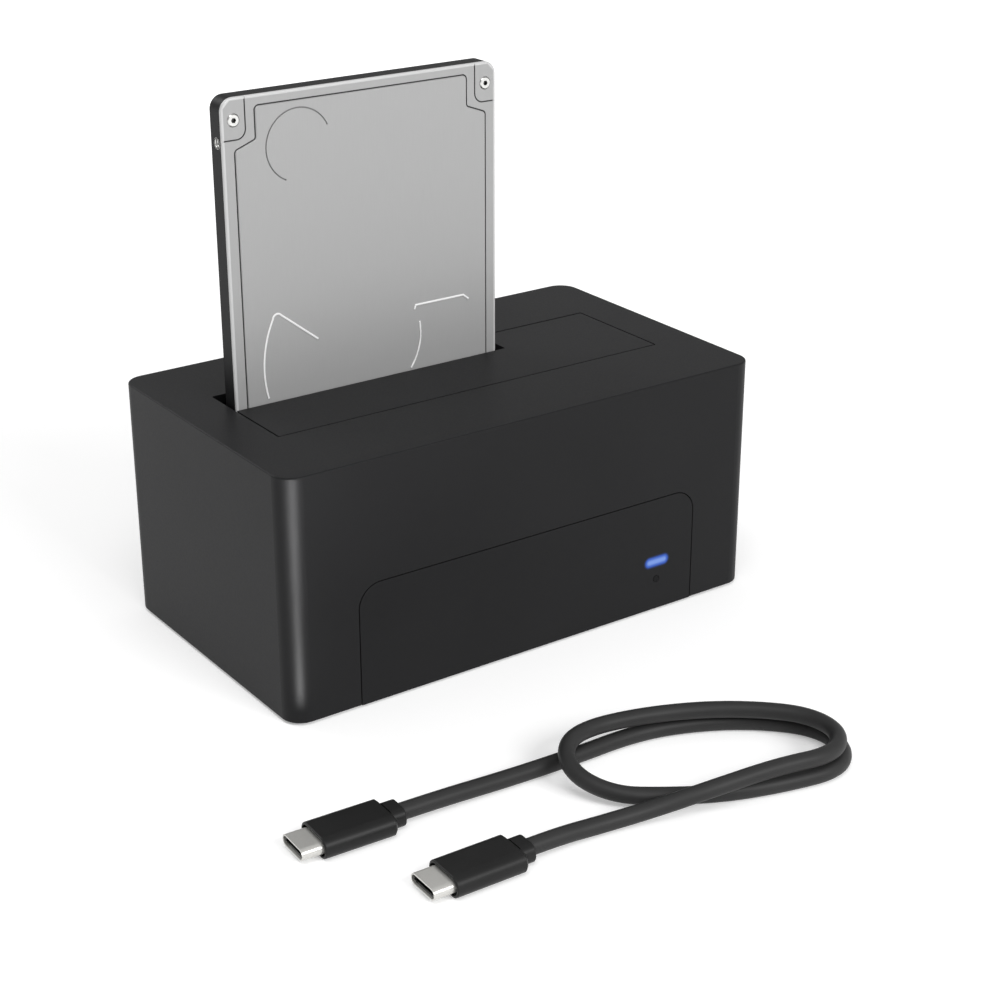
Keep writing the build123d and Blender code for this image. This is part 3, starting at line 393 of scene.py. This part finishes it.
def worked_metal(name, colour, lighter, cell_mm, roughness, metallic=1.0, shine=0.5):
    """A metal with fine marks from its working, as long in each direction as its cell is."""
    material, tree, place = blank(name)
    stretch = Vector([per_metre(size) for size in cell_mm])
    marks_at = add(tree, "Mapping", sockets={"Vector": place, "Scale": stretch}).outputs["Vector"]
    marks = add(tree, "TexNoise", sockets={"Vector": marks_at, "Scale": 1.0, "Detail": 2.0}).outputs["Fac"]
    tone = blend_colours(tree, marks, linear(colour), linear(lighter))
    gloss = spread(tree, marks, roughness - UNEVEN_GLOSS, roughness + UNEVEN_GLOSS)
    bump = add(tree, "Bump", sockets={"Height": marks, "Strength": 0.1, "Distance": MARK_DEPTH})
    shader = add(tree, "BsdfPrincipled", sockets={
        "Base Color": tone, "Roughness": gloss, "Metallic": metallic, "Specular IOR Level": shine,
        "Normal": bump.outputs["Normal"]})
    finish_material(tree, shader.outputs[0])
    return material


# Blackened steel is dull and only catches lamps. Zinc plating is a cool even grey.
black_steel = worked_metal("blackened_steel", "2a2a2b", "343436", (0.2, 0.2, 0.2), 0.4)
zinc_steel = worked_metal("zinc_plated_steel", "b9bcc0", "c8cbd0", (0.5, 0.5, 0.5), 0.3)
# Drawn wire is streaked along its length, and a drawn can along its height.
spring_wire = worked_metal("drawn_spring_wire", "9a9a98", "b0b0ad", (2, 0.1, 0.1), 0.28)
can_aluminium = worked_metal("drawn_aluminium", "c4c5c7", "d2d3d5", (0.4, 0.4, 2), 0.32)
# Nickel on the plugs' mouths is warm and slightly veiled, tin is whiter, and gold is thin and soft.
nickel = worked_metal("nickel_plated_steel", "c9c8c4", "d6d5d1", (0.15, 0.15, 1.5), 0.3, metallic=0.6)
tin = worked_metal("tinned_steel", "bdbdbb", "cdcdcb", (0.4, 1.5, 0.4), 0.3)
gold = worked_metal("gold_plated_bronze", "d9a441", "e2b455", (0.1, 0.1, 0.6), 0.25)
print("metals", black_steel.name, zinc_steel.name, nickel.name, gold.name)

# %% [markdown]
# ## The drive's pressed lid
# The lid is thin rolled steel with a fine satin, so it looks an even pale grey and hardly mirrors. The shade
# in its sunk lines is painted into the colour as a darker grey. The glints on its raised beads and
# rolled-over edge are painted highlights: a pale colour with no metal in it. The pressing is in the mesh,
# and its depth tells the shader where a line's floor or a bead's top is. A line is therefore painted dark
# exactly where it is pressed, and no picture is needed.

# %% Where the lid is sunk and raised, and where shade and highlight are painted
LID_LOW, LID_HIGH = (Vector(corner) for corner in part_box("drive_lid"))
LID_METAL = 0.15  # satin this fine reads as a pale grey solid with little mirror in it
LINE_DEPTH = (4.78 * MM, 4.88 * MM)  # y at which a pressed line's wall ends and its floor begins
EDGE_INSET = 0.6 * MM  # the rolled-over edge of the sheet
CORNER_INSET = 2.8 * MM
DISC_MIDDLE = (-33.0 * MM, 114.15 * MM)  # x and z of the shallow round pressing over the pivot
DISC_RADIUS = 8.0 * MM
DISC_LINE_WIDTH = 0.25 * MM  # to each side
DISC_LINE_DEPTH = 4.6 * MM
DISC_PAINTED_SHADE = 0.5  # the shallow ring gets half as much painted shade
EDGE_HIGHLIGHT = 0.4  # the edge gets a weaker painted highlight than the beads
BEAD_HEIGHT = (4.38 * MM, 4.46 * MM)  # y between a bead's top, where the painted highlight is full, and its foot
print("lid", [round(x / MM, 2) for x in LID_HIGH - LID_LOW], "mm")


# %% Pressed lid
def inside_edges(tree, place):
    """1 on the lid's flat, 0 on its rolled-over edge and cut corners."""
    from_low = add(tree, "VectorMath", {"operation": "SUBTRACT"}, {0: place, 1: LID_LOW}).outputs[0]
    from_high = add(tree, "VectorMath", {"operation": "SUBTRACT"}, {0: LID_HIGH, 1: place}).outputs[0]
    low = add(tree, "SeparateXYZ", sockets={0: from_low}).outputs
    high = add(tree, "SeparateXYZ", sockets={0: from_high}).outputs
    aside = add(tree, "Math", {"operation": "MINIMUM"}, {0: low["X"], 1: high["X"]}).outputs[0]
    above = add(tree, "Math", {"operation": "MINIMUM"}, {0: low["Z"], 1: high["Z"]}).outputs[0]
    edge = add(tree, "Math", {"operation": "MINIMUM"}, {0: aside, 1: above}).outputs[0]
    corner = add(tree, "Math", {"operation": "ADD"}, {0: aside, 1: above}).outputs[0]
    in_edge = add(tree, "Math", {"operation": "GREATER_THAN"}, {0: edge, 1: EDGE_INSET}).outputs[0]
    in_corner = add(tree, "Math", {"operation": "GREATER_THAN"}, {0: corner, 1: CORNER_INSET}).outputs[0]
    return add(tree, "Math", {"operation": "MULTIPLY"}, {0: in_edge, 1: in_corner}).outputs[0]


def sunk_lines(tree, axes):
    """1 on the floor of a pressed line, less on the shallow ring: where shade is painted."""
    line_floor = add(tree, "MapRange", {"interpolation_type": "SMOOTHSTEP"}, {
        "Value": axes["Y"], "From Min": LINE_DEPTH[0], "From Max": LINE_DEPTH[1]}).outputs["Result"]
    flat = add(tree, "CombineXYZ", sockets={"X": axes["X"], "Z": axes["Z"]}).outputs[0]
    off = add(tree, "VectorMath", {"operation": "DISTANCE"}, {
        0: flat, 1: (DISC_MIDDLE[0], 0, DISC_MIDDLE[1])}).outputs["Value"]
    on_ring = add(tree, "Math", {"operation": "COMPARE"}, {
        0: off, 1: DISC_RADIUS, 2: DISC_LINE_WIDTH}).outputs[0]
    deep = add(tree, "Math", {"operation": "GREATER_THAN"}, {0: axes["Y"], 1: DISC_LINE_DEPTH}).outputs[0]
    ring = add(tree, "Math", {"operation": "MULTIPLY"}, {0: on_ring, 1: deep}).outputs[0]
    ring = spread(tree, ring, 0.0, DISC_PAINTED_SHADE)
    return add(tree, "Math", {"operation": "MAXIMUM"}, {0: line_floor, 1: ring}).outputs[0]


def pressed_lid():
    """Satin steel sheet with painted shade in its pressed lines, and painted highlights on its beads and
    edge.
    """
    material = worked_metal("satin_rolled_steel", "a2a2a2", "a6a6a6", (0.25, 0.25, 6), 0.36, shine=0.2)
    tree = material.node_tree
    shader = tree.nodes["Principled BSDF"]
    place = add(tree, "TexCoord").outputs["Object"]
    axes = add(tree, "SeparateXYZ", sockets={0: place}).outputs
    inner = inside_edges(tree, place)
    lines = add(tree, "Math", {"operation": "MULTIPLY"}, {0: sunk_lines(tree, axes), 1: inner}).outputs[0]
    clean = shader.inputs["Base Color"].links[0].from_socket
    # Painted shade: the floors of the pressed lines are coloured dark grey.
    line_shaded = blend_colours(tree, lines, clean, linear("3a3a3a"))

    # Painted highlight: bead tops and the rolled edge are coloured near white and lose their metal.
    high = add(tree, "MapRange", {"interpolation_type": "SMOOTHSTEP"}, {
        "Value": axes["Y"], "From Min": BEAD_HEIGHT[0], "From Max": BEAD_HEIGHT[1],
        "To Min": 1.0, "To Max": 0.0}).outputs["Result"]
    on_edge = add(tree, "Math", {"operation": "SUBTRACT"}, {0: 1.0, 1: inner}).outputs[0]
    painted_highlight = add(tree, "Math", {"operation": "MAXIMUM"}, {
        0: high, 1: spread(tree, on_edge, 0.0, EDGE_HIGHLIGHT)}).outputs[0]
    tree.links.new(blend_colours(tree, painted_highlight, line_shaded, linear("eaeaea")), shader.inputs["Base Color"])
    tree.links.new(spread(tree, painted_highlight, LID_METAL, 0.0), shader.inputs["Metallic"])
    return material


lid_steel = pressed_lid()
print("lid finish", lid_steel.name, len(lid_steel.node_tree.nodes), "nodes")

# %% [markdown]
# ## The lid's screws
# They are machined steel, bright and finely turned. Each has a small socket for the key, whose shade is
# painted into the colour as a dark dot. The depth of a point gives the socket away, as it does on the lid.

# %% Screws with dark sockets
SOCKET_DEPTH = (4.6 * MM, 4.8 * MM)  # y at which a lid screw's socket goes dark


def socketed_steel():
    """Machined steel screws, with painted shade in their sockets."""
    material = worked_metal("machined_steel", "c4c4c2", "d0d0ce", (0.3, 0.3, 0.3), 0.3)
    tree = material.node_tree
    shader = tree.nodes["Principled BSDF"]
    axes = add(tree, "SeparateXYZ", sockets={0: add(tree, "TexCoord").outputs["Object"]}).outputs
    # Painted shade: the socket's floor is coloured dark grey.
    deep = add(tree, "MapRange", {"interpolation_type": "SMOOTHSTEP"}, {
        "Value": axes["Y"], "From Min": SOCKET_DEPTH[0], "From Max": SOCKET_DEPTH[1]}).outputs["Result"]
    clean = shader.inputs["Base Color"].links[0].from_socket
    tree.links.new(blend_colours(tree, deep, clean, linear("3a3a3a")), shader.inputs["Base Color"])
    return material


screw_steel = socketed_steel()
print("screw finish", screw_steel.name)

# %% [markdown]
# ## The drive's coated case
# The case is die-cast aluminium under a dark coat, nearly black and softly grained. Its mounting holes
# are drilled and tapped after coating, so the thread inside them is bare metal. A point belongs to a
# hole when it is nearer to the hole's line than its radius, and the thread is a ripple along that line.

# %% Coated casting with bare threads
HOLE_RADIUS = 1.27 * MM
HOLE_MIDDLES = [(7.0 * MM, z * MM) for z in (39.8, 116.4)]  # y and z; each hole runs along x
THREAD_PITCH = 0.5 * MM


def drilled_casting():
    """A dark coated casting, with bare cut threads in the side holes."""
    material = etched_abs("dark_coated_casting", "101011", "161617", grain_mm=0.4, roughness=0.45)
    tree = material.node_tree
    coated = tree.nodes["Principled BSDF"]
    axes = add(tree, "SeparateXYZ", sockets={0: add(tree, "TexCoord").outputs["Object"]}).outputs
    across = add(tree, "CombineXYZ", sockets={"Y": axes["Y"], "Z": axes["Z"]}).outputs[0]
    inside = 0.0
    for y, z in HOLE_MIDDLES:
        off = add(tree, "VectorMath", {"operation": "DISTANCE"}, {0: across, 1: (0, y, z)}).outputs["Value"]
        near = add(tree, "Math", {"operation": "LESS_THAN"}, {0: off, 1: HOLE_RADIUS}).outputs[0]
        inside = add(tree, "Math", {"operation": "MAXIMUM"}, {0: inside, 1: near}).outputs[0]
    thread = add(tree, "Math", {"operation": "PINGPONG"}, {0: axes["X"], 1: THREAD_PITCH / 2}).outputs[0]
    cut = add(tree, "Bump", sockets={"Height": thread, "Strength": 0.6, "Distance": 1.0})
    bare = add(tree, "BsdfPrincipled", sockets={
        "Base Color": linear("d4d4d2"), "Metallic": 1.0, "Roughness": 0.35, "Normal": cut.outputs["Normal"]})
    both = add(tree, "MixShader", sockets={0: inside, 1: coated.outputs[0], 2: bare.outputs[0]})
    tree.links.new(both.outputs[0], tree.nodes["Material Output"].inputs["Surface"])
    return material


cast_case = drilled_casting()
print("case finish", cast_case.name, "holes", len(HOLE_MIDDLES))

# %% [markdown]
# ## Rubber, the lead's jacket and the plug grips
# The lead has a soft jacket of thermoplastic rubber, extruded over its wires. It is matt, with a fine
# even grain, and picks up a wide soft sheen. The grips are a harder moulding, nearly black. The feet
# are cast rubber with a dusty bloom.


# %% Rubber and jackets
RUBBER_IOR = 1.52
RUBBER_SHINE = 0.2  # the grain breaks up most of what rubber would mirror


def soft_rubber(name, dark, light, cell_mm, roughness, relief=0.3):
    """Rubber with fine marks as long in each direction as their cell is."""
    material, tree, place = blank(name)
    stretch = Vector([per_metre(size) for size in cell_mm])
    marks_at = add(tree, "Mapping", sockets={"Vector": place, "Scale": stretch}).outputs["Vector"]
    marks = add(tree, "TexNoise", sockets={"Vector": marks_at, "Scale": 1.0, "Detail": 3.0}).outputs["Fac"]
    bloom = add(tree, "TexNoise", sockets={
        "Vector": place, "Scale": per_metre(6), "Detail": 2.0}).outputs["Fac"]
    colour = blend_colours(tree, bloom, linear(dark), linear(light))
    gloss = spread(tree, marks, roughness - 0.05, roughness + 0.05)
    bump = add(tree, "Bump", sockets={"Height": marks, "Strength": relief, "Distance": 0.02 * MM})
    shader = add(tree, "BsdfPrincipled", sockets={
        "Base Color": colour, "Roughness": gloss, "IOR": RUBBER_IOR, "Specular IOR Level": RUBBER_SHINE,
        "Normal": bump.outputs["Normal"]})
    finish_material(tree, shader.outputs[0])
    return material


# The jacket is dark grey and matt, the grips are blacker and harder, and the feet are dull.
jacket = soft_rubber("extruded_black_jacket", "2b2b2b", "323232", (0.3, 0.3, 0.3), 0.5)
grip_abs = soft_rubber("moulded_black_grip", "191919", "202020", (0.25, 0.25, 0.25), 0.42, relief=0.2)
foot_rubber = soft_rubber("cast_black_rubber", "141414", "1c1c1c", (0.5, 0.5, 0.5), 0.7)
print("rubbers", jacket.name, grip_abs.name, foot_rubber.name)

# %% [markdown]
# ## Boards and what stands on them
# A printed board is glass laminate under green lacquer, and its copper tracks show through as slightly
# lighter lines. The tracks are drawn as a brick pattern, whose mortar lines run straight and turn
# square, as tracks do. Connectors are a glossier black plastic, and chips a greyer one.


# %% Board lacquer
def board_lacquer():
    """Green solder lacquer with tracks that show through it."""
    material, tree, place = blank("green_board_lacquer")
    axes = add(tree, "SeparateXYZ", sockets={0: place}).outputs
    across = add(tree, "Math", {"operation": "ADD"}, {0: axes["Y"], 1: axes["Z"]}).outputs[0]
    flat = add(tree, "CombineXYZ", sockets={"X": axes["X"], "Y": across}).outputs[0]
    tracks = add(tree, "TexBrick", {"offset": 0.5, "squash": 1.0}, {
        "Vector": flat, "Color1": linear("0f4a2b"), "Color2": linear("12552f"), "Mortar": linear("2a8050"),
        "Scale": per_metre(2.4), "Mortar Size": 0.06, "Brick Width": 1.6, "Row Height": 0.5})
    relief = add(tree, "Bump", sockets={
        "Height": tracks.outputs["Fac"], "Strength": 0.2, "Distance": 0.03 * MM})
    gloss = spread(tree, tracks.outputs["Fac"], 0.3, 0.38)
    shader = add(tree, "BsdfPrincipled", sockets={
        "Base Color": tracks.outputs["Color"], "Roughness": gloss, "IOR": 1.5,
        "Normal": relief.outputs["Normal"]})
    finish_material(tree, shader.outputs[0])
    return material


board_green = board_lacquer()
# Nylon comes out of a polished tool, resin is dull and grey, ferrite is pressed powder with no shine.
connector_black = etched_abs("glossy_black_nylon", "121213", "171718", grain_mm=0.5, roughness=0.3)
chip_black = etched_abs("moulded_chip_resin", "1d1d20", "242428", grain_mm=0.15, roughness=0.5)
ferrite = etched_abs("pressed_ferrite", "3a3a3b", "454546", grain_mm=0.3, roughness=0.55)
light_chip = etched_abs("light_chip_resin", "d2d0c4", "dedccf", grain_mm=0.3, roughness=0.3)
print("board", board_green.name)

# %% [markdown]
# ## Giving each piece its finish
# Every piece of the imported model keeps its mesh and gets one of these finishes. The table reads as a
# parts list does: the finish, then the pieces that have it.

# %% Finishes onto pieces
FINISHES = [
    (housing_abs, ["upper_shell", "drive_flap"]),
    (panel_plastic, ["front_panel"]),
    (inner_abs, ["base_plate", "drive_bay", "power_button"]),
    (foot_rubber, ["rubber_feet"]),
    (blue_lens, ["status_light"]),
    (dark_lens, ["activity_light"]),
    (lid_steel, ["drive_lid"]),
    (cast_case, ["drive_case"]),
    (screw_steel, ["lid_screws"]),
    (black_steel, ["base_screws"]),
    (zinc_steel, ["hinge_pin", "bay_screws", "board_screws", "light_board_screws"]),
    (spring_wire, ["flap_springs"]),
    (nickel, ["far_plug_tip", "near_plug_tip"]),
    (tin, ["usb_socket", "power_jack_pin", "clock_crystal"]),
    (gold, ["socket_contacts", "plug_contacts"]),
    (can_aluminium, ["capacitors", "motor_hub"]),
    (grip_abs, ["far_plug_grip", "near_plug_grip"]),
    (board_green, ["main_board", "light_board", "drive_board"]),
    (connector_black, ["drive_socket", "drive_plug", "usb_socket_tongue", "power_jack", "power_switch",
                       "board_header", "far_plug_liner", "near_plug_liner"]),
    (chip_black, ["bridge_chip", "small_chips"]),
    (ferrite, ["power_coils"]),
    (light_chip, ["light_chips"]),
]

for material, names in FINISHES:
    for name in names:
        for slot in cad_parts[name].material_slots:
            slot.material = material
given = {name for _, names in FINISHES for name in names}
print("finished", len(given), "left", sorted(set(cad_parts) - given))

# %% [markdown]
# ## The lead
# The lead lies in one and a half loops and ends in a plug at each side. Its real shape is a smooth
# curve that a flexible thing of fixed length falls into, so it is a spline that the route's points
# pull on, with a round bevel of the lead's own radius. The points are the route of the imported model's
# tube, in millimetres, from the far plug to the near one.

# %% The lead's route
LEAD_DIAMETER = 3.6 * MM
ROUTE_MM = [
    (-64.5, -80.2, 2.3),
    (-54.4, -80.7, 2.3),
    (-40.5, -81.4, 1.8),
    (-24.0, -82.3, 1.8),
    (-6.0, -82.2, 1.8),
    (7.3, -86.6, 1.8),
    (18.1, -93.5, 1.8),
    (25.7, -102.4, 1.8),
    (25.5, -111.8, 1.8),
    (18.4, -117.9, 1.8),
    (6.0, -115.6, 1.8),
    (-7.2, -111.4, 1.8),
    (-18.0, -104.9, 1.8),
    (-26.6, -100.2, 2.8),
    (-30.6, -92.0, 4.7),
    (-27.1, -84.0, 6.1),
    (-19.5, -80.6, 6.2),
    (-7.0, -82.3, 5.9),
    (6.0, -87.5, 5.8),
    (16.1, -94.5, 5.8),
    (23.5, -102.8, 5.8),
    (23.7, -112.1, 5.8),
    (16.4, -117.8, 5.9),
    (3.5, -115.2, 6.3),
    (-11.2, -112.7, 5.2),
    (-22.8, -108.3, 2.4),
    (-35.2, -105.9, 1.8),
    (-44.0, -105.2, 2.3),
    (-51.4, -105.0, 2.3),
]

lead_curve = bpy.data.curves.new("lead", "CURVE")
lead_curve.dimensions = "3D"
lead_curve.bevel_depth = LEAD_DIAMETER / 2
lead_curve.bevel_resolution = 8
lead_curve.resolution_u = 12
spline = lead_curve.splines.new("NURBS")
spline.points.add(len(ROUTE_MM) - 1)
for point, place in zip(spline.points, ROUTE_MM):
    point.co = (place[0] * MM, place[1] * MM, place[2] * MM, 1)
spline.order_u = 3
spline.use_endpoint_u = True
lead_curve.materials.append(jacket)
lead = bpy.data.objects.new("lead_jacket", lead_curve)
bpy.context.collection.objects.link(lead)
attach(lead, "cable")
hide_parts("cable_lead")
print("lead", len(ROUTE_MM), "points,", round(spline.calc_length() / MM, 1), "mm")

# %% [markdown]
# The last line keeps the rendered colours as they are, with the standard view transform.

# %% Standard view transform
bpy.context.scene.view_settings.view_transform = "Standard"
